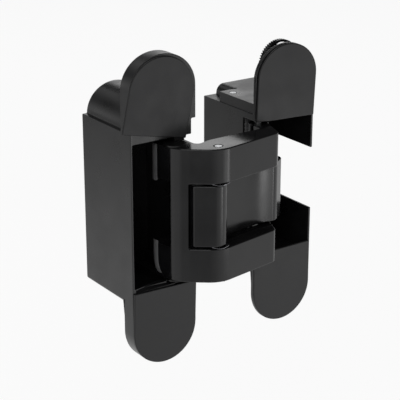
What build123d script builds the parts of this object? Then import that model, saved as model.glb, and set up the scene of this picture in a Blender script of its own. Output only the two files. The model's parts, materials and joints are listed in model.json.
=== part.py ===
from build123d import *
from math import cos, radians, sin
import os

os.makedirs("parts", exist_ok=True)

# Housings, millimetres, faces look to -Y and depth runs to +Y
width = 30.0
depth = 36.0
wall = 1.0
rear_wall = 1.2
pitch = 58.9
arm_half = 27.5
lip_clearance = 2.2
guide_room = 3.3
floor_thick = 4.0
lip_half = arm_half + lip_clearance
cavity_half = lip_half + guide_room
box_bottom = cavity_half + floor_thick
floor_round = 1.2

# Frame housing
frame_roof = 0.9
frame_top = cavity_half + frame_roof
frame_flange = 6.9
frame_half_height = 64.4
arch_radius = 12.9
arch_sink = 0.4
arch_centre = frame_top - arch_sink
frame_wall_cut = 8.4
frame_cut_clearance = 1.5
frame_cut_half = arm_half + frame_cut_clearance
frame_notch_rise = 3.0
frame_notch_top = cavity_half + frame_notch_rise

# Door housing
door_rise = 4.5
block_height_up = 4.1
door_top = arm_half + door_rise
door_roof = 1.1
door_flange = 1.5
door_half_height = 60.9
block_top = door_top + block_height_up
block_step = 25.5
block_inset = 6.3
block_round = block_height_up - 0.4
door_notch = 8.0
door_notch_clearance = 1.8
door_notch_half = arm_half + door_notch_clearance
door_window_depth = 23.0
boss_radius = 5.6
boss_bore = 3.6
boss_length = 8.0
boss_side = 3.0
boss_gap = 1.0
boss_rise = boss_radius + boss_gap
block_side = 1.1

# Fixing screws under the caps
screw_half_spacing = 50.0
screw_radius = 2.6
screw_head_radius = 3.3

# Caps
cap_thick = 0.9
cap_edge = 0.25
cap_inset = 0.25

# Arms
window_half = 13.4
middle_clearance = 0.8
middle_half = window_half - middle_clearance
door_window_clearance = 0.7
door_window_half = middle_half + door_window_clearance
centre_pin_radius = 1.6
door_pin_radius = 1.5
slide_pin_radius = 1.5
running = 0.05
frame_side = width / 2
door_side = pitch - width / 2
centre_reach = 1.7
centre_forward = 12.9
door_pin_inset = 4.2
door_pin_depth = 21.0
slide_inset = 7.5
slide_depth = 2.5
finger_inset = 4.0
finger_depth = 3.5
centre_pos = (frame_side + centre_reach, -centre_forward)
door_pin_pos = (door_side + door_pin_inset, door_pin_depth)
slide_pos = (frame_side - slide_inset, slide_depth)
slide_travel = 22.95
finger_pos = (door_side + finger_inset, finger_depth)
finger_radius = 3.9
slide_eye_radius = 3.6
door_eye_radius = 2.85
washer_radius = 3.6
disc_shift = 3.5
disc_forward = 1.7
disc_pos = (slide_pos[0] - disc_shift, -disc_forward)
disc_radius = 4.5
disc_thick = 0.6

# Slide blocks and guides
block_width = 4.6
block_length = 4.4
block_height = 3.9
block_rise = 0.25
groove_clearance = 0.08
guide_overlap = 0.2
guide_foot = lip_half - guide_overlap
guide_width = 12.0
groove_spare = 2.35
groove_end = slide_pos[1] + slide_travel + block_length / 2 + groove_spare
door_guide_width = width / 2 - wall
door_guide_depth = 14.0
pocket_side = 6.0
pocket_width = 8.0
pocket_end = 11.5
finger_pin_radius = 1.5
finger_pin_height = 2.9
finger_pin_grip = 10.0


def rounded_plate(half_height, plate_width):
    # Upright plate with half-round ends
    Rectangle(plate_width, 2 * (half_height - plate_width / 2))
    with Locations((0, half_height - plate_width / 2), (0, plate_width / 2 - half_height)):
        Circle(plate_width / 2)


def arm_plan(plan, corners):
    # Closed outline of an arm, from each corner's place and rounding
    Polygon(*[(x, y) for x, y, rounding in corners], align=None)
    for x, y, rounding in corners:
        if rounding:
            fillet(plan.vertices().sort_by_distance((x, y, 0))[0], radius=rounding)


def save(part, name):
    part.label = name
    export_step(part, "parts/" + name + ".step")


# Frame housing: box, flange plate and the arch behind the upper flange
with BuildPart() as frame_housing:
    with BuildSketch(Plane.XY.offset(-box_bottom)):
        with Locations((0, depth / 2)):
            Rectangle(width, depth)
    extrude(amount=box_bottom + frame_top)
    fillet(frame_housing.edges().group_by(Axis.Z)[0].filter_by(Axis.Y), radius=floor_round)
    with BuildSketch(Plane.XZ.offset(-depth)):
        with Locations((0, arch_centre)):
            Circle(arch_radius)
    extrude(amount=depth)
    with BuildSketch(Plane.XZ):
        rounded_plate(frame_half_height, width)
    extrude(amount=-frame_flange)
    with BuildSketch(Plane.XZ.offset(-rear_wall)):
        Rectangle(width - 2 * wall, 2 * cavity_half)
    extrude(amount=-(depth - 2 * rear_wall), mode=Mode.SUBTRACT)
    with BuildSketch(Plane.XZ):
        Rectangle(width - 2 * wall, 2 * lip_half)
    extrude(amount=-frame_flange, mode=Mode.SUBTRACT)
    with BuildSketch(Plane.XY.offset(-cavity_half)):
        with Locations((slide_pos[0], rear_wall)):
            Rectangle(block_width + 2 * groove_clearance, 2 * rear_wall)
    extrude(amount=2 * cavity_half, mode=Mode.SUBTRACT)
    with BuildSketch(Plane.YZ.offset(width / 2)):
        with Locations((frame_wall_cut / 2, (frame_notch_top - frame_cut_half) / 2)):
            Rectangle(frame_wall_cut, frame_notch_top + frame_cut_half)
    extrude(amount=-2 * wall, mode=Mode.SUBTRACT)
    with Locations((0, 0, screw_half_spacing), (0, 0, -screw_half_spacing)):
        Cylinder(screw_radius, 4 * frame_flange, rotation=(90, 0, 0), mode=Mode.SUBTRACT)

# Door housing: box, thin flange and the raised block on the top
with BuildPart() as door_housing:
    with BuildSketch(Plane.XY.offset(-box_bottom)):
        with Locations((pitch, depth / 2)):
            Rectangle(width, depth)
    extrude(amount=box_bottom + door_top)
    fillet(door_housing.edges().group_by(Axis.Z)[0].filter_by(Axis.Y), radius=floor_round)
    with BuildSketch(Plane.XY.offset(door_top)):
        with Locations((pitch, block_step / 2)):
            Rectangle(width - block_side, block_step)
    extrude(amount=block_top - door_top)
    with BuildSketch(Plane.XY.offset(door_top)):
        with Locations((pitch + block_inset / 2, depth / 2)):
            Rectangle(width - block_inset, depth)
    extrude(amount=block_top - door_top)
    rear_edges = door_housing.edges().filter_by(Axis.Y).filter_by_position(Axis.Z, block_top - 0.1, block_top + 0.1)
    fillet(rear_edges.sort_by(Axis.Y)[-2:].sort_by(Axis.X)[0], radius=block_round)
    with BuildSketch(Plane.XZ):
        with Locations((pitch, 0)):
            rounded_plate(door_half_height, width)
    extrude(amount=-door_flange)
    with BuildSketch(Plane.XZ.offset(-door_flange)):
        with Locations((pitch + boss_side, block_top + boss_rise)):
            Circle(boss_radius)
            Circle(boss_bore, mode=Mode.SUBTRACT)
    extrude(amount=-boss_length)
    with BuildSketch(Plane.XZ.offset(-door_flange)):
        with Locations((pitch, (door_top - door_roof - cavity_half) / 2)):
            Rectangle(width - 2 * wall, door_top - door_roof + cavity_half)
    extrude(amount=-(depth - door_flange - rear_wall), mode=Mode.SUBTRACT)
    with BuildSketch(Plane.XZ):
        with Locations((pitch, 0)):
            Rectangle(width - 2 * wall, 2 * door_notch_half)
    extrude(amount=-door_flange, mode=Mode.SUBTRACT)
    with BuildSketch(Plane.YZ.offset(pitch - width / 2)):
        with Locations((door_notch / 2, 0)):
            Rectangle(door_notch, 2 * door_notch_half)
    extrude(amount=2 * wall, mode=Mode.SUBTRACT)
    with BuildSketch(Plane.YZ.offset(pitch + width / 2)):
        with Locations((door_window_depth / 2, 0)):
            Rectangle(door_window_depth, 2 * door_window_half)
    extrude(amount=-2 * wall, mode=Mode.SUBTRACT)
    with Locations((pitch, 0, screw_half_spacing), (pitch, 0, -screw_half_spacing)):
        Cylinder(screw_radius, 4 * door_flange, rotation=(90, 0, 0), mode=Mode.SUBTRACT)
    with BuildSketch(Plane.XZ):
        with Locations((pitch, screw_half_spacing), (pitch, -screw_half_spacing)):
            Circle(screw_head_radius)
    extrude(amount=-(screw_head_radius - screw_radius), taper=45, mode=Mode.SUBTRACT)
    with Locations((door_pin_pos[0], door_pin_pos[1], 0)):
        Cylinder(door_pin_radius, 3 * box_bottom, mode=Mode.SUBTRACT)

# Outer arm: leg in the frame housing, finger in the door housing; corners are x, y, rounding
outer_outline = [
    (frame_side - 16.4, 5.6, 0.8),
    (frame_side - 15.9, 0.0, 0),
    (frame_side - 14.5, -4.9, 8.0),
    (frame_side - 12.6, -7.8, 8.0),
    (frame_side - 9.9, -10.5, 8.0),
    (frame_side - 6.9, -12.9, 0),
    (frame_side - 0.2, -18.0, 4.2),
    (30.0, -15.3, 0),
    (door_side + 3.8, -12.2, 3.4),
    (door_side + 7.4, 1.5, 0),
    (door_side + 0.3, 2.0, 0),
    (door_side - 0.3, -3.4, 0),
    (door_side - 2.3, -5.0, 0),
    (25.2, -5.4, 0),
    (frame_side + 2.8, -5.7, 0),
    (frame_side - 3.9, -5.8, 2.0),
    (frame_side - 4.0, 2.0, 0),
    (frame_side - 7.5, 6.0, 0),
    (frame_side - 12.0, 6.1, 0),
]
open_middle = [
    (frame_side - 10.2, -20.0),
    (frame_side - 10.2, -10.2),
    (frame_side - 9.7, -7.4),
    (frame_side - 10.4, -3.6),
    (frame_side - 23.0, -3.6),
    (frame_side - 23.0, 12.0),
    (pitch, 12.0),
    (pitch, -20.0),
]
with BuildPart() as outer_arm:
    with BuildSketch(Plane.XY.offset(-arm_half)) as outer_plan:
        arm_plan(outer_plan, outer_outline)
        with Locations(slide_pos):
            Circle(slide_eye_radius)
        with Locations(finger_pos):
            Circle(finger_radius)
    extrude(amount=2 * arm_half)
    with BuildSketch(Plane.XY.offset(-window_half)):
        Polygon(*open_middle, align=None)
    extrude(amount=2 * window_half, mode=Mode.SUBTRACT)
    with Locations((centre_pos[0], centre_pos[1], 0)):
        Cylinder(centre_pin_radius, 4 * arm_half, mode=Mode.SUBTRACT)
    with Locations((slide_pos[0], slide_pos[1], 0)):
        Cylinder(slide_pin_radius + running, 4 * arm_half, mode=Mode.SUBTRACT)
    with Locations((finger_pos[0], finger_pos[1], 0)):
        Cylinder(finger_pin_radius, 4 * arm_half, mode=Mode.SUBTRACT)

# Middle arm: knuckle in the window, set-back leg and the hook to the door pin
middle_outline = [
    (frame_side - 8.5, -11.1, 0.9),
    (frame_side - 6.8, -12.6, 0),
    (frame_side - 0.2, -17.5, 3.6),
    (frame_side + 4.6, -16.7, 1.6),
    (frame_side + 5.1, -9.5, 0),
    (25.6, -8.1, 0),
    (33.9, -6.5, 0),
    (door_side - 1.9, -5.1, 0),
    (door_side + 7.0, -5.9, 6.0),
    (door_side + 14.1, -1.6, 2.6),
    (door_side + 13.7, 3.4, 0),
    (door_side + 10.0, 14.0, 0),
    (door_side + 7.1, 20.0, 0),
    (door_side + 1.4, 20.0, 0),
    (door_side + 1.4, 3.4, 0),
    (door_side + 0.0, 1.6, 0),
    (40.0, 0.8, 0),
    (22.0, -3.4, 0),
    (frame_side + 0.6, -5.6, 0),
    (frame_side - 2.8, -2.0, 0),
    (frame_side - 3.8, 4.4, 2.0),
    (frame_side - 8.6, 4.4, 2.0),
    (frame_side - 9.4, 0.0, 0),
    (frame_side - 9.1, -8.2, 0),
]
with BuildPart() as middle_arm:
    with BuildSketch(Plane.XY.offset(-middle_half)) as middle_plan:
        arm_plan(middle_plan, middle_outline)
        with Locations(door_pin_pos):
            Circle(door_eye_radius)
    extrude(amount=2 * middle_half)
    with Locations((centre_pos[0], centre_pos[1], 0)):
        Cylinder(centre_pin_radius + running, 4 * middle_half, mode=Mode.SUBTRACT)
    with Locations((door_pin_pos[0], door_pin_pos[1], 0)):
        Cylinder(door_pin_radius + running, 4 * middle_half, mode=Mode.SUBTRACT)

# Pins
with BuildPart() as centre_pin:
    with BuildSketch(Plane.XY.offset(-arm_half)):
        with Locations(centre_pos):
            Circle(centre_pin_radius)
    extrude(amount=2 * arm_half)
with BuildPart() as door_pin:
    with BuildSketch(Plane.XY.offset(-box_bottom)):
        with Locations(door_pin_pos):
            Circle(door_pin_radius)
    extrude(amount=box_bottom + block_top)
slide_reach = arm_half + block_rise + block_height

# Caps, slide blocks, guides, discs and washers, one of each above and below
# Each cap: turn in degrees, shift across and up, gap from the arms' ends to its lowest corner
cap_seats = {
    "frame_cap_upper": (12.0, -1.0, -0.7, 1.2),
    "frame_cap_lower": (1.3, -0.4, 0.0, 3.8),
    "door_cap_upper": (2.6, 0.6, 0.0, 0.1),
    "door_cap_lower": (-0.6, -0.4, 0.0, 0.4),
}
cap_radius = width / 2 - cap_inset
for side, half_height, centre_x in (("frame", frame_half_height, 0.0), ("door", door_half_height, pitch)):
    for end, sign in (("upper", 1), ("lower", -1)):
        name = side + "_cap_" + end
        turn, across, up, gap = cap_seats[name]
        tilt = radians(abs(turn))
        cap_level = half_height - width / 2 + up
        tail = (cap_level - arm_half - gap - cap_radius * sin(tilt)) / cos(tilt)
        with BuildPart() as cap:
            with BuildSketch(Plane.XZ):
                with Locations(Location((centre_x + across, sign * cap_level), -turn)):
                    Circle(cap_radius)
                    with Locations((0, -sign * tail / 2)):
                        Rectangle(2 * cap_radius, tail)
                    with Locations((0, -sign * (tail + cap_radius))):
                        Rectangle(2 * cap_radius, 2 * cap_radius, mode=Mode.SUBTRACT)
            extrude(amount=cap_thick)
            chamfer(cap.faces().sort_by(Axis.Y)[0].edges(), length=cap_edge)
        save(cap.part, name)

door_seats = {"upper": door_top - door_roof, "lower": cavity_half}
for end, sign in (("upper", 1), ("lower", -1)):
    with BuildPart() as slide_block:
        with BuildSketch(Plane.XY.offset(sign * (arm_half + block_rise))):
            with Locations(slide_pos):
                Rectangle(block_width, block_length)
                Circle(slide_pin_radius, mode=Mode.SUBTRACT)
        extrude(amount=sign * block_height)
    save(slide_block.part, "slide_block_" + end)

    with BuildPart() as slide_pin:
        with BuildSketch(Plane.XY.offset(sign * window_half)):
            with Locations(slide_pos):
                Circle(slide_pin_radius)
        extrude(amount=sign * (slide_reach - window_half))
    save(slide_pin.part, "slide_pin_" + end)

    with BuildPart() as frame_guide:
        with BuildSketch(Plane.XY.offset(sign * cavity_half)):
            with Locations((slide_pos[0], depth / 2)):
                Rectangle(guide_width, depth - 2 * rear_wall)
            with Locations((slide_pos[0], groove_end / 2)):
                Rectangle(block_width + 2 * groove_clearance, groove_end, mode=Mode.SUBTRACT)
        extrude(amount=-sign * (cavity_half - guide_foot))
    save(frame_guide.part, "frame_guide_" + end)

    with BuildPart() as door_guide:
        with BuildSketch(Plane.XY.offset(sign * guide_foot)):
            with Locations((pitch - door_guide_width / 2, door_flange + door_guide_depth / 2)):
                Rectangle(door_guide_width, door_guide_depth)
            with Locations((door_side + pocket_side, door_flange + pocket_end / 2)):
                Rectangle(pocket_width, pocket_end, mode=Mode.SUBTRACT)
        extrude(amount=sign * (door_seats[end] - guide_foot))
    save(door_guide.part, "door_guide_" + end)

    with BuildPart() as glide_disc:
        with BuildSketch(Plane.XY.offset(sign * arm_half)):
            with Locations(disc_pos):
                Circle(disc_radius)
            with Locations(slide_pos):
                Circle(slide_pin_radius + block_width / 2, mode=Mode.SUBTRACT)
        extrude(amount=sign * disc_thick)
    save(glide_disc.part, "glide_disc_" + end)

    with BuildPart() as centre_washer:
        with BuildSketch(Plane.XY.offset(sign * window_half)):
            with Locations(centre_pos):
                Circle(washer_radius)
                Circle(centre_pin_radius, mode=Mode.SUBTRACT)
        extrude(amount=-sign * (window_half - middle_half) / 2)
    save(centre_washer.part, "centre_washer_" + end)

    with BuildPart() as finger_pin:
        with BuildSketch(Plane.XY.offset(sign * (arm_half - finger_pin_grip))):
            with Locations(finger_pos):
                Circle(finger_pin_radius)
        extrude(amount=sign * (finger_pin_grip + finger_pin_height))
    save(finger_pin.part, "finger_pin_" + end)

save(frame_housing.part, "frame_housing")
save(door_housing.part, "door_housing")
save(outer_arm.part, "outer_arm")
save(middle_arm.part, "middle_arm")
save(centre_pin.part, "centre_pin")
save(door_pin.part, "door_pin")
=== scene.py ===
import bpy, bmesh, json, math
from mathutils import Matrix, Vector


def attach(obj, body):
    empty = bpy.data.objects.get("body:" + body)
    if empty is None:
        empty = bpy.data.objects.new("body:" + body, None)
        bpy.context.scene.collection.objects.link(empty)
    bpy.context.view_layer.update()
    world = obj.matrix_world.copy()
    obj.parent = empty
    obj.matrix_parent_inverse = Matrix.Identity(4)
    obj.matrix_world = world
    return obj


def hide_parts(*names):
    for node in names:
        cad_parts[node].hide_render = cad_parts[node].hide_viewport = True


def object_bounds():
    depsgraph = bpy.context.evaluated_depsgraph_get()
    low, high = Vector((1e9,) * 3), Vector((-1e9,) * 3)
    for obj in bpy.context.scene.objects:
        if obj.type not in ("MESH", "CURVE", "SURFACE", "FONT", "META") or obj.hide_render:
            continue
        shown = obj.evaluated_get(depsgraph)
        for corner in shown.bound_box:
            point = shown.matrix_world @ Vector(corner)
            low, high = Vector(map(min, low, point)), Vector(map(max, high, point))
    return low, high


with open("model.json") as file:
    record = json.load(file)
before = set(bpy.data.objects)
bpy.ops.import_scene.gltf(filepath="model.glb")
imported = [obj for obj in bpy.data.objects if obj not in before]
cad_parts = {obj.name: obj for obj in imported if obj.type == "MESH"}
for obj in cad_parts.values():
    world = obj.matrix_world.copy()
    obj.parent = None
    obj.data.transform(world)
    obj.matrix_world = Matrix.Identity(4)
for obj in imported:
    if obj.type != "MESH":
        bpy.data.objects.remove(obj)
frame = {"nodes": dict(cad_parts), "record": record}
cadBox = [list(map(float, corner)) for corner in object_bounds()]
record = frame["record"]
nodeBody = {node: body for body, nodes in record["behaviour"]["bodies"].items() for node in nodes}
slotOf = {entry["node"]: entry["material_slot"] for entry in record["subparts"]}
print("frame loaded:", len(frame["nodes"]), "nodes")


# Node helpers, for shaders and Geometry Nodes alike
def addNode(tree, kind, inputs=(), **settings):
    # an input is joined where a socket is given and set where a value is
    node = tree.nodes.new(kind)
    for label, value in settings.items():
        setattr(node, label, value)
    for key, value in dict(inputs).items():
        if isinstance(value, bpy.types.NodeSocket):
            tree.links.new(value, node.inputs[key])
        else:
            node.inputs[key].default_value = value
    return node


def calc(tree, operation, *values):
    return addNode(tree, "ShaderNodeMath", enumerate(values), operation=operation).outputs["Value"]


def newMaterial(name, rough, metal=0.0, level=0.5):
    mat = bpy.data.materials.new(name)
    mat.use_nodes = True
    shader = mat.node_tree.nodes["Principled BSDF"]
    shader.inputs["Metallic"].default_value = metal
    shader.inputs["Roughness"].default_value = rough
    shader.inputs["Specular IOR Level"].default_value = level
    return mat, mat.node_tree, shader


def addNoise(tree, scale, detail):
    place = addNode(tree, "ShaderNodeTexCoord").outputs["Object"]
    inputs = {"Scale": scale, "Detail": detail, "Roughness": 0.55, "Vector": place}
    return addNode(tree, "ShaderNodeTexNoise", inputs).outputs["Fac"]


def rampTo(tree, source, low, high, fromLow=0.35, fromHigh=0.65):
    inputs = {"Value": source, "From Min": fromLow, "From Max": fromHigh, "To Min": low, "To Max": high}
    return addNode(tree, "ShaderNodeMapRange", inputs).outputs["Result"]


def mixColours(tree, factor, first, second):
    # 6, 7 and output 2 are the node's colour sockets
    inputs = {"Factor": factor, 6: (*first, 1), 7: (*second, 1)}
    return addNode(tree, "ShaderNodeMix", inputs, data_type="RGBA").outputs[2]


def addBump(tree, shader, height, strength, distance):
    bump = addNode(tree, "ShaderNodeBump", {"Strength": strength, "Distance": distance, "Height": height})
    tree.links.new(bump.outputs["Normal"], shader.inputs["Normal"])


# Coated finishes: linear colours, two roughnesses, the grain's scale and the strength of its bump
finishes = {
    "housingBlack": dict(
        base=(0.0052, 0.0052, 0.0056), worn=(0.0095, 0.0095, 0.0102),
        rough=(0.26, 0.38), grain=2600, bump=0.10, level=0.50),
    "armBlack": dict(
        base=(0.0040, 0.0040, 0.0044), worn=(0.0070, 0.0070, 0.0075),
        rough=(0.15, 0.21), grain=3200, bump=0.05, level=0.42),
    "capBlack": dict(
        base=(0.0065, 0.0065, 0.0070), worn=(0.0105, 0.0105, 0.0112),
        rough=(0.36, 0.46), grain=3600, bump=0.10, level=0.42),
    "guideBlack": dict(
        base=(0.0035, 0.0035, 0.0035), worn=(0.0060, 0.0060, 0.0060),
        rough=(0.26, 0.36), grain=2000, bump=0.12, level=0.40),
    # a light grey that paints highlights: the glints on the outer arm's leg
    "paintedGlintGrey": dict(
        base=(0.070, 0.070, 0.072), worn=(0.110, 0.110, 0.112),
        rough=(0.30, 0.42), grain=2400, bump=0.10, level=0.50),
}
coating = dict(cloudScale=90, cloudDetail=3, grainDetail=2, depth=0.00004)


def coatedFinish(name, spec):
    mat, tree, shader = newMaterial(name, spec["rough"][0], 0.0, spec["level"])
    cloud = addNoise(tree, coating["cloudScale"], coating["cloudDetail"])
    grain = addNoise(tree, spec["grain"], coating["grainDetail"])
    patches = rampTo(tree, cloud, 0.0, 1.0)
    tree.links.new(mixColours(tree, patches, spec["base"], spec["worn"]), shader.inputs["Base Color"])
    tree.links.new(rampTo(tree, cloud, *spec["rough"]), shader.inputs["Roughness"])
    addBump(tree, shader, grain, spec["bump"], coating["depth"])
    return mat


# Bare steels: two linear colours between the turning lines
steels = {
    "pinSteel": dict(rough=0.28, grain=5200, dark=(0.42, 0.43, 0.44), light=(0.62, 0.63, 0.64)),
    "springSteel": dict(rough=0.16, grain=4200, dark=(0.10, 0.10, 0.11), light=(0.22, 0.22, 0.23)),
}
turning = dict(detail=2, bump=0.15, depth=0.00003)


def turnedSteel(name, spec):
    mat, tree, shader = newMaterial(name, spec["rough"], 1.0)
    lines = addNoise(tree, spec["grain"], turning["detail"])
    shade = rampTo(tree, lines, 0.0, 1.0)
    tree.links.new(mixColours(tree, shade, spec["dark"], spec["light"]), shader.inputs["Base Color"])
    addBump(tree, shader, lines, turning["bump"], turning["depth"])
    return mat


materials = {name: coatedFinish(name, spec) for name, spec in finishes.items()}
for name, spec in steels.items():
    materials[name] = turnedSteel(name, spec)
slotFinish = {
    "housing_black": "housingBlack",
    "arm_black": "armBlack",
    "cap_black": "capBlack",
    "pin_steel": "pinSteel",
    "guide_plastic": "guideBlack",
}
print("finishes made:", len(materials))


# Mesh helpers
def meshObject(name, mesh):
    obj = bpy.data.objects.new(name, mesh)
    bpy.context.scene.collection.objects.link(obj)
    return obj


def editMesh(mesh, change):
    work = bmesh.new()
    work.from_mesh(mesh)
    change(work)
    work.to_mesh(mesh)
    work.free()


def applyModifiers(obj):
    graph = bpy.context.evaluated_depsgraph_get()
    mesh = bpy.data.meshes.new_from_object(obj.evaluated_get(graph), depsgraph=graph)
    obj.modifiers.clear()
    old = obj.data
    obj.data = mesh
    bpy.data.meshes.remove(old)
    return obj


# Flats over this area in square metres meet in a crisp line from this angle on
crisp = dict(area=6e-5, degrees=3)


def shadeByAngle(mesh, degrees):
    def mark(work):
        for face in work.faces:
            face.smooth = True
        for edge in work.edges:
            angle = edge.calc_face_angle(math.pi)
            broad = all(face.calc_area() > crisp["area"] for face in edge.link_faces)
            bent = angle > math.radians(degrees) or (broad and angle > math.radians(crisp["degrees"]))
            edge.smooth = len(edge.link_faces) == 2 and not bent

    editMesh(mesh, mark)


def cutFaces(work, faces, place, normal):
    # only these faces are cut along the plane
    parts = set(faces)
    for face in faces:
        parts.update(face.edges)
        parts.update(face.verts)
    bmesh.ops.bisect_plane(work, geom=list(parts), dist=1e-7, plane_co=place, plane_no=normal)


def lowerArc(work, level, factor, keep):
    # what lies over the level is squeezed towards it
    for vert in work.verts:
        if vert.co.z > level and keep(vert.co):
            vert.co.z = level + (vert.co.z - level) * factor


# Corner rounding: the number of cuts across the arc, and which vertices belong to the corner.
# They lie between a share of the radius and a depth beyond it in metres, with a margin in radians.
cornerCuts = dict(steps=12, share=0.98, depth=0.012, margin=0.002)


def reached(co, centre, rays, radius):
    away = co.xy - centre
    middle = rays[len(rays) // 2]
    spread = middle.angle(rays[0]) + cornerCuts["margin"]
    return radius < away.length < radius + cornerCuts["depth"] and middle.angle(away) < spread


def roundCorner(work, spec):
    # a wider rounding at one corner of an arm's outline, points in plan and metres
    before, corner, after = Vector(spec["before"]), Vector(spec["corner"]), Vector(spec["after"])
    radius, steps = spec["radius"], cornerCuts["steps"]
    toBefore, toAfter = (before - corner).normalized(), (after - corner).normalized()
    half = toBefore.angle(toAfter) / 2
    centre = corner + (toBefore + toAfter).normalized() * radius / math.sin(half)
    reach = radius / math.tan(half)
    first, last = corner + toBefore * reach - centre, corner + toAfter * reach - centre
    turn = first.angle_signed(last)
    rays = []
    for i in range(steps + 1):
        ray = first.copy()
        ray.rotate(Matrix.Rotation(-turn * i / steps, 2))
        rays.append(ray.normalized())
    bound = radius * cornerCuts["share"]
    for ray in rays:
        near = [
            face for face in work.faces
            if any(reached(vert.co, centre, rays, bound) for vert in face.verts)]
        cutFaces(work, near, (*centre, 0), (-ray.y, ray.x, 0))
    for vert in work.verts:
        if reached(vert.co, centre, rays, radius):
            away = (vert.co.xy - centre).normalized() * radius
            vert.co.x, vert.co.y = centre.x + away.x, centre.y + away.y


# Frame flange and rear arch: where each arc starts and how far it is squeezed. The flange's screw
# hole is kept round. Then the flange's lower lip, and how far around it faces and vertices are taken.
screwHeight = 0.05
frameArcs = dict(
    flange=dict(level=0.0494, factor=0.93, screw=(0.0, 0.003, 0.0035)),
    rear=dict(level=0.0339, factor=0.925, front=0.0068, halfWidth=0.013, top=0.0466))
frameLip = dict(foot=-0.03125, edge=-0.0297, half=0.0136, near=0.0011, back=0.0045, run=0.0011)
lipReach = dict(below=0.002, above=0.001, side=2e-5, top=1e-4)


def clearOfScrew(co, screw):
    x, across, up = screw
    return abs(co.x - x) > across or abs(co.z - screwHeight) > up


def shapeFrame(work):
    flange, rear = frameArcs["flange"], frameArcs["rear"]
    lowerArc(work, flange["level"], flange["factor"], lambda co: clearOfScrew(co, flange["screw"]))
    lowerArc(
        work, rear["level"], rear["factor"],
        lambda co: co.y > rear["front"] and abs(co.x) < rear["halfWidth"] and co.z < rear["top"])


def slopeLip(work):
    # the flange's lower lip slopes back into the pocket
    lip = frameLip
    low, high = lip["foot"] - lipReach["below"], lip["edge"] + lipReach["above"]
    cuts = [
        ((0, 0, lip["foot"]), (0, 0, 1)),
        ((lip["half"], 0, 0), (1, 0, 0)),
        ((-lip["half"], 0, 0), (1, 0, 0)),
    ]
    for place, normal in cuts:
        front = [
            face for face in work.faces
            if all(vert.co.y < lip["near"] for vert in face.verts)
            and any(low < vert.co.z < high for vert in face.verts)]
        cutFaces(work, front, place, normal)
    half, top = lip["half"] - lipReach["side"], lip["edge"] + lipReach["top"]
    for vert in work.verts:
        co = vert.co
        if abs(co.x) < half and lip["foot"] < co.z < top and co.y < lip["near"]:
            co.y += (lip["back"] - co.y) * min(1.0, (co.z - lip["foot"]) / lip["run"])


# Outer arm: the bend of both bars, their ends, and their back edge behind the middle arm
outerBend = dict(
    before=(0.0081, -0.0129), corner=(0.0148, -0.0180), after=(0.0300, -0.0153), radius=0.012)
outerBars = dict(
    inner=0.0130,
    end=dict(x=0.0445, y=-0.0045, upper=0.0007, lower=0.0013),
    back=dict(x=(0.0150, 0.0425), y=(-0.0060, -0.0048), deeper=0.0014))


def shapeOuter(work):
    roundCorner(work, outerBend)
    end, back = outerBars["end"], outerBars["back"]
    for vert in work.verts:
        co = vert.co
        if abs(co.z) <= outerBars["inner"]:
            continue
        if co.x > end["x"] and co.y < end["y"]:
            co.x -= end["upper"] if co.z > 0 else end["lower"]
        if back["x"][0] < co.x < back["x"][1] and back["y"][0] < co.y < back["y"][1]:
            co.y += back["deeper"]


# Middle arm: the knuckle's corner, and a hook that is shortened less and less towards the door
knuckleCorner = dict(
    before=(0.0082, -0.0126), corner=(0.0206, -0.0218), after=(0.0206, -0.0090), radius=0.005)
hook = dict(start=0.048, shorter=0.13, fadeEnd=0.014, fade=0.010)


def shapeMiddle(work):
    roundCorner(work, knuckleCorner)
    for vert in work.verts:
        share = min(1.0, max(0.0, (hook["fadeEnd"] - vert.co.y) / hook["fade"]))
        vert.co.x -= max(0.0, vert.co.x - hook["start"]) * hook["shorter"] * share


# Upper caps and door flange
frameCapArc = dict(level=0.0494, factor=0.94)
doorArc = dict(level=0.0459, factor=0.915)
doorFlange = dict(back=0.0016, screw=(0.0589, 0.004, 0.004))


def shapeFrameCap(work):
    lowerArc(work, **frameCapArc, keep=lambda co: True)


def shapeDoor(work):
    back, screw = doorFlange["back"], doorFlange["screw"]
    lowerArc(work, **doorArc, keep=lambda co: co.y < back and clearOfScrew(co, screw))


def shapeDoorCap(work):
    lowerArc(work, **doorArc, keep=lambda co: True)


# Vertices nearer than this in metres are one, and faces within this many degrees are one flat
merging = dict(dist=0.000004, flat=math.radians(0.6))


def refined(node, spec):
    # a merged copy of the node's mesh with rounded edges
    def prepare(work):
        bmesh.ops.remove_doubles(work, verts=work.verts, dist=merging["dist"])
        bmesh.ops.dissolve_limit(work, angle_limit=merging["flat"], verts=work.verts, edges=work.edges)
        if "shape" in spec:
            spec["shape"](work)

    mesh = frame["nodes"][node].data.copy()
    mesh.materials.clear()
    editMesh(mesh, prepare)
    obj = meshObject(spec["name"], mesh)
    bevel = obj.modifiers.new("round", "BEVEL")
    bevel.width = spec["round"]
    bevel.segments = spec["steps"]
    bevel.limit_method = "ANGLE"
    bevel.angle_limit = math.radians(spec["limit"])
    bevel.use_clamp_overlap = False
    bevel.miter_outer = "MITER_ARC"
    applyModifiers(obj)
    if "finish" in spec:
        editMesh(obj.data, spec["finish"])
    shadeByAngle(obj.data, spec["smooth"])
    even = obj.modifiers.new("even", "WEIGHTED_NORMAL")  # flats stay flat beside the roundings
    even.weight = 100
    even.keep_sharp = True
    return applyModifiers(obj)


def dress(obj, body, finish, slot, *nodes):
    obj.data.materials.clear()
    obj.data.materials.append(materials[finish])
    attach(obj, body)
    if nodes:
        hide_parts(*nodes)


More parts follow.
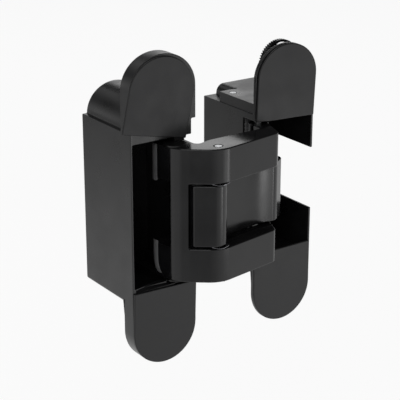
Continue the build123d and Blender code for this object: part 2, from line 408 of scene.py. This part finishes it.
# Refined nodes: rounding in metres, steps across it, and the angles in degrees for rounding and shading
castEdges = dict(round=0.0003, steps=2, limit=40, smooth=32)
armEdges = dict(round=0.0005, steps=3, limit=40, smooth=34)
capEdges = dict(round=0.00022, steps=2, limit=28, smooth=32)
pinEdges = dict(round=0.00025, steps=2, limit=40, smooth=34)
refinedPieces = {
    "frame_housing": dict(
        castEdges, name="frameHousing", round=0.00035, shape=shapeFrame, finish=slopeLip),
    "door_housing": dict(castEdges, name="doorHousing", shape=shapeDoor),
    "outer_arm": dict(armEdges, name="outerArm", shape=shapeOuter),
    "middle_arm": dict(armEdges, name="middleArm", shape=shapeMiddle),
    "frame_cap_upper": dict(capEdges, name="frameCapUpper", shape=shapeFrameCap),
    "frame_cap_lower": dict(capEdges, name="frameCapLower"),
    "door_cap_upper": dict(capEdges, name="doorCapUpper", shape=shapeDoorCap),
    "door_cap_lower": dict(capEdges, name="doorCapLower"),
    "centre_pin": dict(pinEdges, name="centrePin"),
    "door_pin": dict(pinEdges, name="doorPin"),
}
for node, spec in refinedPieces.items():
    dress(refined(node, spec), nodeBody[node], slotFinish[slotOf[node]], slotOf[node], node)
print("refined pieces:", len(refinedPieces))


# Geometry Nodes helpers
def newTree(name, values):
    # one input per value; returns the tree, the inputs' keys, their sockets and the output node
    tree = bpy.data.node_groups.new(name, "GeometryNodeTree")
    tree.interface.new_socket("Geometry", in_out="OUTPUT", socket_type="NodeSocketGeometry")
    keys = {}
    for label, value in values.items():
        kind = "NodeSocketInt" if isinstance(value, int) else "NodeSocketFloat"
        socket = tree.interface.new_socket(label, in_out="INPUT", socket_type=kind)
        socket.default_value = value
        keys[label] = socket.identifier
    return tree, keys, tree.nodes.new("NodeGroupInput").outputs, tree.nodes.new("NodeGroupOutput")


def combine(tree, inputs):
    return addNode(tree, "ShaderNodeCombineXYZ", inputs).outputs["Vector"]


def finishTree(tree, geometry, output, material):
    realize = addNode(tree, "GeometryNodeRealizeInstances", {"Geometry": geometry})
    paint = addNode(
        tree, "GeometryNodeSetMaterial", {"Material": material, "Geometry": realize.outputs["Geometry"]})
    tree.links.new(paint.outputs["Geometry"], output.inputs["Geometry"])


def meshFromTree(name, tree, keys, values):
    obj = meshObject(name, bpy.data.meshes.new(name))
    mod = obj.modifiers.new("build", "NODES")
    mod.node_group = tree
    for label, value in values.items():
        mod[keys[label]] = value
    return applyModifiers(obj)


def placeMesh(obj, matrix):
    obj.data.transform(matrix)
    editMesh(obj.data, lambda work: bmesh.ops.recalc_face_normals(work, faces=work.faces))
    shadeByAngle(obj.data, 34)


# Wavy spring washers above and below the knuckle, "Spread" apart
waveWasher = {
    "Radius": 0.0038, "Width": 0.0017, "Thickness": 0.00022,
    "Wave": 0.00022, "Waves": 4, "Points": 72, "Spread": 0.0260,
}
washerSeat = (0.0167, -0.0129, 0)


def washerTree(values, material):
    tree, keys, given, output = newTree("waveWasher", values)
    ring = addNode(
        tree, "GeometryNodeCurvePrimitiveCircle",
        {"Resolution": given["Points"], "Radius": given["Radius"]})
    place = addNode(tree, "GeometryNodeInputPosition").outputs["Position"]
    axes = addNode(tree, "ShaderNodeSeparateXYZ", {"Vector": place}).outputs
    turn = calc(tree, "ARCTAN2", axes["Y"], axes["X"])
    wave = calc(tree, "SINE", calc(tree, "MULTIPLY", turn, given["Waves"]))
    lift = combine(tree, {"Z": calc(tree, "MULTIPLY", wave, given["Wave"])})
    wavy = addNode(tree, "GeometryNodeSetPosition", {"Geometry": ring.outputs["Curve"], "Offset": lift})
    upright = addNode(
        tree, "GeometryNodeSetCurveNormal", {"Curve": wavy.outputs["Geometry"]}, mode="Z_UP")
    profile = addNode(
        tree, "GeometryNodeCurvePrimitiveQuadrilateral",
        {"Width": given["Width"], "Height": given["Thickness"]})
    sweep = addNode(
        tree, "GeometryNodeCurveToMesh",
        {"Curve": upright.outputs["Curve"], "Profile Curve": profile.outputs["Curve"]})
    seats = addNode(
        tree, "GeometryNodeMeshLine",
        {
            "Count": 2,
            "Start Location": combine(tree, {"Z": calc(tree, "MULTIPLY", given["Spread"], -0.5)}),
            "Offset": combine(tree, {"Z": calc(tree, "MULTIPLY", given["Spread"], 0.5)}),
        },
        mode="END_POINTS")
    pair = addNode(
        tree, "GeometryNodeInstanceOnPoints",
        {"Points": seats.outputs["Mesh"], "Instance": sweep.outputs["Mesh"]})
    finishTree(tree, pair.outputs["Instances"], output, material)
    return tree, keys


washers = meshFromTree("springWashers", *washerTree(waveWasher, materials["springSteel"]), waveWasher)
placeMesh(washers, Matrix.Translation(washerSeat))
washerNodes = ("centre_washer_upper", "centre_washer_lower")
dress(washers, nodeBody["centre_washer_upper"], "springSteel", "pin_steel", *washerNodes)

# Knurled adjusting wheel behind the door flange, leaning by degrees
knurledWheel = {
    "Radius": 0.0096, "Thickness": 0.0022, "Teeth": 56,
    "Tooth Depth": 0.0005, "Tooth Width": 0.00055, "Hole": 0.0042, "Hole Shift": 0.0046,
}
wheelSeat = dict(centre=(0.0598, 0.0056, 0.0503), lean=4)
wheelSides = dict(disc=96, hole=48)
toothHeight = 0.94  # share of the wheel's thickness


def wheelTree(values, material):
    tree, keys, given, output = newTree("knurledWheel", values)
    inner = calc(tree, "SUBTRACT", given["Radius"], given["Tooth Depth"])
    disc = addNode(
        tree, "GeometryNodeMeshCylinder",
        {"Vertices": wheelSides["disc"], "Radius": inner, "Depth": given["Thickness"]})
    through = calc(tree, "MULTIPLY", given["Thickness"], 3.0)
    drill = addNode(
        tree, "GeometryNodeMeshCylinder",
        {"Vertices": wheelSides["hole"], "Radius": given["Hole"], "Depth": through})
    aside = combine(tree, {"Y": given["Hole Shift"]})
    moved = addNode(
        tree, "GeometryNodeTransform", {"Geometry": drill.outputs["Mesh"], "Translation": aside})
    cut = addNode(
        tree, "GeometryNodeMeshBoolean",
        {"Mesh 1": disc.outputs["Mesh"], "Mesh 2": moved.outputs["Geometry"]}, operation="DIFFERENCE")
    rim = addNode(tree, "GeometryNodeMeshCircle", {"Vertices": given["Teeth"], "Radius": inner})
    size = combine(tree, {
        "X": calc(tree, "MULTIPLY", given["Tooth Depth"], 2.0),
        "Y": given["Tooth Width"],
        "Z": calc(tree, "MULTIPLY", given["Thickness"], toothHeight),
    })
    tooth = addNode(tree, "GeometryNodeMeshCube", {"Size": size})
    index = addNode(tree, "GeometryNodeInputIndex").outputs["Index"]
    step = calc(tree, "DIVIDE", 2 * math.pi, given["Teeth"])
    spin = combine(tree, {"Z": calc(tree, "MULTIPLY", index, step)})
    teeth = addNode(
        tree, "GeometryNodeInstanceOnPoints",
        {"Points": rim.outputs["Mesh"], "Instance": tooth.outputs["Mesh"], "Rotation": spin})
    whole = addNode(tree, "GeometryNodeJoinGeometry", {"Geometry": cut.outputs["Mesh"]})
    tree.links.new(teeth.outputs["Instances"], whole.inputs["Geometry"])
    finishTree(tree, whole.outputs["Geometry"], output, material)
    return tree, keys


wheel = meshFromTree("adjustingWheel", *wheelTree(knurledWheel, materials["armBlack"]), knurledWheel)
upright = Matrix.Rotation(math.radians(90), 4, "X")
lean = Matrix.Rotation(math.radians(wheelSeat["lean"]), 4, "Y")
placeMesh(wheel, Matrix.Translation(wheelSeat["centre"]) @ lean @ upright)
dress(wheel, nodeBody["door_housing"], "armBlack", "housing_black")

# Beads on the side of the outer arm's leg, one above and one below the window; their light grey is a
# painted highlight that stands in for glints on the leg.
# The seat is the leg's slanting side as two points in plan; each line is in y and z.
glintBead = dict(
    halfWidth=0.00145, proud=0.00045, sink=0.0001, across=8, seat=((-0.0009, 0.0), (-0.0014, 0.0056)))
stripLines = {
    "glintBeadUpper": [(0.00435, 0.0126), (0.00435, 0.0205), (0.00435, 0.0273)],
    "glintBeadLower": [
        (0.00435, -0.0126), (0.00435, -0.0188), (0.0042, -0.0213),
        (0.0038, -0.0231), (0.0030, -0.0246), (0.0020, -0.0256)],
}


def stripMesh(name, line, spec):
    (x0, y0), (x1, y1) = spec["seat"]
    work = bmesh.new()
    rings = []
    for middle, z in line:
        ring = []
        for i in range(spec["across"] + 1):
            u = 2 * i / spec["across"] - 1
            y = middle + u * spec["halfWidth"]
            side = x0 + (x1 - x0) * (y - y0) / (y1 - y0)
            ring.append(work.verts.new((side - spec["proud"] * (1 - u * u), y, z)))
        for u in (1, -1):
            y = middle + u * spec["halfWidth"]
            side = x0 + (x1 - x0) * (y - y0) / (y1 - y0)
            ring.append(work.verts.new((side + spec["sink"], y, z)))
        rings.append(ring)
    for lower, upper in zip(rings, rings[1:]):
        for i in range(len(lower)):
            j = (i + 1) % len(lower)
            work.faces.new((lower[i], lower[j], upper[j], upper[i]))
    work.faces.new(rings[0])
    work.faces.new(rings[-1])
    bmesh.ops.recalc_face_normals(work, faces=work.faces)
    mesh = bpy.data.meshes.new(name)
    work.to_mesh(mesh)
    work.free()
    shadeByAngle(mesh, 40)
    return mesh


# each bead is given the light grey of a painted highlight
for name, line in stripLines.items():
    strip = meshObject(name, stripMesh(name, line, glintBead))
    dress(strip, nodeBody["outer_arm"], "paintedGlintGrey", "guide_plastic")
print("small pieces made")

# The nodes that stay as they are get their finish
madeAnew = {*refinedPieces, *washerNodes}
for node, obj in frame["nodes"].items():
    if node not in madeAnew:
        obj.data.materials.clear()
        obj.data.materials.append(materials[slotFinish[slotOf[node]]])

# Camera at the photograph's angle: degrees, metres, and the lens in millimetres
camera = dict(
    target=(0.01702, 0.0, 0.00155), azimuth=-34.732, elevation=19.938, distance=0.53290,
    lens=120.85, sensor=36, nearClip=0.01)
azimuth, elevation = math.radians(camera["azimuth"]), math.radians(camera["elevation"])
back = Vector((
    math.sin(azimuth) * math.cos(elevation),
    -math.cos(azimuth) * math.cos(elevation),
    math.sin(elevation)))
scene = bpy.context.scene
camData = bpy.data.cameras.new("camera")
camData.lens = camera["lens"]
camData.sensor_width = camera["sensor"]
camData.clip_start = camera["nearClip"]
camObj = bpy.data.objects.new("camera", camData)
camObj.location = Vector(camera["target"]) + back * camera["distance"]
camObj.rotation_euler = back.to_track_quat("Z", "Y").to_euler()
scene.collection.objects.link(camObj)
scene.camera = camObj
scene.view_settings.view_transform = "Standard"

# World: white for the camera, even for diffuse light, darker overhead for reflections
sky = dict(ambient=0.42, horizon=1.0, overhead=0.10, fadeFrom=0.0, fadeTo=0.34)


def skyWorld(spec):
    world = bpy.data.worlds.new("studioWorld")
    world.use_nodes = True
    tree = world.node_tree
    tree.nodes.clear()
    path = addNode(tree, "ShaderNodeLightPath").outputs
    aim = addNode(tree, "ShaderNodeTexCoord").outputs["Generated"]
    axes = addNode(tree, "ShaderNodeSeparateXYZ", {"Vector": aim}).outputs
    fade = rampTo(tree, axes["Z"], spec["horizon"], spec["overhead"], spec["fadeFrom"], spec["fadeTo"])
    dim = addNode(tree, "ShaderNodeBackground", {"Color": (1, 1, 1, 1), "Strength": spec["ambient"]})
    glossy = addNode(tree, "ShaderNodeBackground", {"Strength": fade})
    white = addNode(tree, "ShaderNodeBackground", {"Color": (1, 1, 1, 1), "Strength": 1.0})
    inner = addNode(
        tree, "ShaderNodeMixShader",
        {"Fac": path["Is Glossy Ray"], 1: dim.outputs["Background"], 2: glossy.outputs["Background"]})
    mixer = addNode(
        tree, "ShaderNodeMixShader",
        {"Fac": path["Is Camera Ray"], 1: inner.outputs["Shader"], 2: white.outputs["Background"]})
    addNode(tree, "ShaderNodeOutputWorld", {"Surface": mixer.outputs["Shader"]})
    return world


scene.world = skyWorld(sky)

# Lamps: rectangles in metres that face the hinge, power in watts
lampAim = (0.03, 0, 0)
lamps = [
    dict(name="keyLamp", at=(-0.80, -0.80, 0.75), size=(0.7, 0.7), power=3.2),
    dict(name="stripLamp", at=(0.305, -0.350, -0.122), size=(0.055, 0.09), power=0.050),
    dict(name="fillLamp", at=(0.220, -0.385, -0.125), size=(0.12, 0.09), power=0.030),
    dict(name="archLamp", at=(-0.25, 0.80, 0.70), size=(0.70, 0.30), power=0.36),
    dict(name="backLamp", at=(0.66, 0.95, 0.42), size=(0.60, 0.35), power=0.78),
    dict(name="topLamp", at=(0.05, 0.20, 1.10), size=(0.7, 0.7), power=2.2),
]
for lamp in lamps:
    data = bpy.data.lights.new(lamp["name"], "AREA")
    data.shape = "RECTANGLE"
    data.size, data.size_y = lamp["size"]
    data.energy = lamp["power"]
    obj = bpy.data.objects.new(lamp["name"], data)
    obj.location = lamp["at"]
    obj.visible_camera = False
    obj.rotation_euler = (Vector(lamp["at"]) - Vector(lampAim)).to_track_quat("Z", "Y").to_euler()
    scene.collection.objects.link(obj)

# Floor: pale and glowing for the camera, with a glow painted in for reflections; for reflections alone
# that glow is dimmed, a painted dark patch near one spot and painted shade towards the back.
# Each ramp gives the glow's strength at its near and far end, and the distances of both ends.
floorSpec = dict(
    drop=0.11, size=4.0, colour=(0.9, 0.9, 0.9, 1), rough=0.8, glow=0.9, spot=(-0.35, -0.45),
    nearSpot=(0.40, 1.0, 0.12, 0.45), behind=(0.97, 0.72, 0.15, 0.45), farBehind=(1.0, 0.50, 0.45, 0.55))


def floorMaterial(spec, level):
    mat, tree, shader = newMaterial("paleFloor", spec["rough"])
    shader.inputs["Base Color"].default_value = spec["colour"]
    path = addNode(tree, "ShaderNodeLightPath").outputs
    place = addNode(tree, "ShaderNodeTexCoord").outputs["Object"]
    away = addNode(
        tree, "ShaderNodeVectorMath", {0: place, 1: (*spec["spot"], level)}, operation="DISTANCE")
    axes = addNode(tree, "ShaderNodeSeparateXYZ", {"Vector": place}).outputs
    near = rampTo(tree, away.outputs["Value"], *spec["nearSpot"])
    rear = rampTo(tree, axes["Y"], *spec["behind"])
    far = rampTo(tree, axes["Y"], *spec["farBehind"])
    # painted shade in the floor's reflections: the glow is darker near the spot and towards the back
    paintedReflectionShade = calc(tree, "MULTIPLY", calc(tree, "MULTIPLY", near, rear), far)
    strength = calc(tree, "MAXIMUM", paintedReflectionShade, path["Is Camera Ray"])
    glow = addNode(tree, "ShaderNodeEmission", {"Strength": strength})
    seen = calc(tree, "MAXIMUM", path["Is Camera Ray"], path["Is Glossy Ray"])
    mix = addNode(
        tree, "ShaderNodeMixShader",
        {
            "Fac": calc(tree, "MULTIPLY", seen, spec["glow"]),
            1: shader.outputs["BSDF"],
            2: glow.outputs["Emission"],
        })
    tree.links.new(mix.outputs["Shader"], tree.nodes["Material Output"].inputs["Surface"])
    return mat


half, level = floorSpec["size"] / 2, cadBox[0][2] - floorSpec["drop"]
corners = [(-half, -half, level), (half, -half, level), (half, half, level), (-half, half, level)]
floorMesh = bpy.data.meshes.new("floor")
floorMesh.from_pydata(corners, [], [(0, 1, 2, 3)])
floorMesh.materials.append(floorMaterial(floorSpec, level))
floor = meshObject("floor", floorMesh)
print("studio ready")
